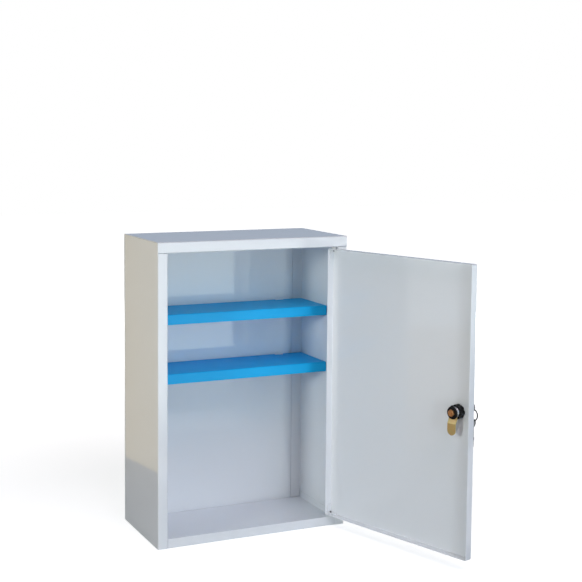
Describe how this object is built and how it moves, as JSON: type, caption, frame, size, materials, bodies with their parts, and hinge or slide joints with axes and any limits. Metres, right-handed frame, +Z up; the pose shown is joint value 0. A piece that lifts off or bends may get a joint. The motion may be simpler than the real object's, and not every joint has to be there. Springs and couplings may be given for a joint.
{
  "type": "medicine cabinet",
  "caption": "Wall cabinet of folded sheet metal with a hinged pan door, shallow shelf trays and a cam lock with its keys.",
  "frame": {"origin": "middle of the cabinet's underside", "axes": "+Z up; +Y towards the wall, so the door is at -Y; +X towards the door's hinge side"},
  "size_m": [0.4434, 0.4527, 0.5],
  "materials": {
    "white_powder_coat": "glossy powder coat",
    "blue_powder_coat": "glossy powder coat",
    "dark_steel": "nickel plated, dull",
    "lock_chrome": "chromed",
    "yellow_zinc": "yellow passivated zinc",
    "brass": "plain",
    "black_plastic": "satin",
    "white_nylon": "satin",
    "grey_rubber": "matt",
    "black_wire": "blackened"
  },
  "bodies": {
    "carcass": {"left_side_panel": "white_powder_coat", "right_side_panel": "white_powder_coat", "top_panel": "white_powder_coat", "bottom_panel": "white_powder_coat", "back_panel": "white_powder_coat", "upper_shelf": "blue_powder_coat", "lower_shelf": "blue_powder_coat", "lower_hinge_bracket": "white_powder_coat", "upper_hinge_pin": "dark_steel", "lower_hinge_pin": "dark_steel", "upper_door_stop": "white_powder_coat", "lower_door_stop": "white_powder_coat", "upper_door_buffer": "grey_rubber", "lower_door_buffer": "grey_rubber"},
    "door": {"door_panel": "white_powder_coat", "door_upper_bracket": "white_powder_coat", "door_lower_bracket": "white_powder_coat", "upper_hinge_bush": "white_nylon", "lower_hinge_bush": "white_nylon", "lock_body": "lock_chrome", "lock_nut": "black_plastic"},
    "plug": {"lock_plug": "brass", "lock_cam": "yellow_zinc", "cam_washer": "black_plastic", "cam_nut": "brass"},
    "key": {"key": "dark_steel"},
    "ring": {"key_ring": "black_wire"},
    "spare": {"spare_key": "dark_steel"}
  },
  "joints": [
    {"name": "door_hinge", "type": "hinge", "parent": "carcass", "child": "door", "pos_m": [0.147, -0.0808, 0.247], "axis": [0, 0, 1], "range_deg": [-108, 6]},
    {"name": "lock_turn", "type": "hinge", "parent": "door", "child": "plug", "pos_m": [0.23428, -0.33581, 0.247], "axis": [-0.9511, -0.309, 0], "range_deg": [0, 90]},
    {"name": "key_slide", "type": "slide", "parent": "plug", "child": "key", "axis": [0.9511, 0.309, 0], "range_m": [0, 0.015]},
    {"name": "ring_swing", "type": "hinge", "parent": "key", "child": "ring", "pos_m": [0.26594, -0.32552, 0.24545], "axis": [0.309, -0.9511, 0], "range_deg": [-12, 60]},
    {"name": "spare_swing", "type": "hinge", "parent": "ring", "child": "spare", "pos_m": [0.26594, -0.32552, 0.22645], "axis": [0.309, -0.9511, 0], "range_deg": [-15, 40]}
  ]
}
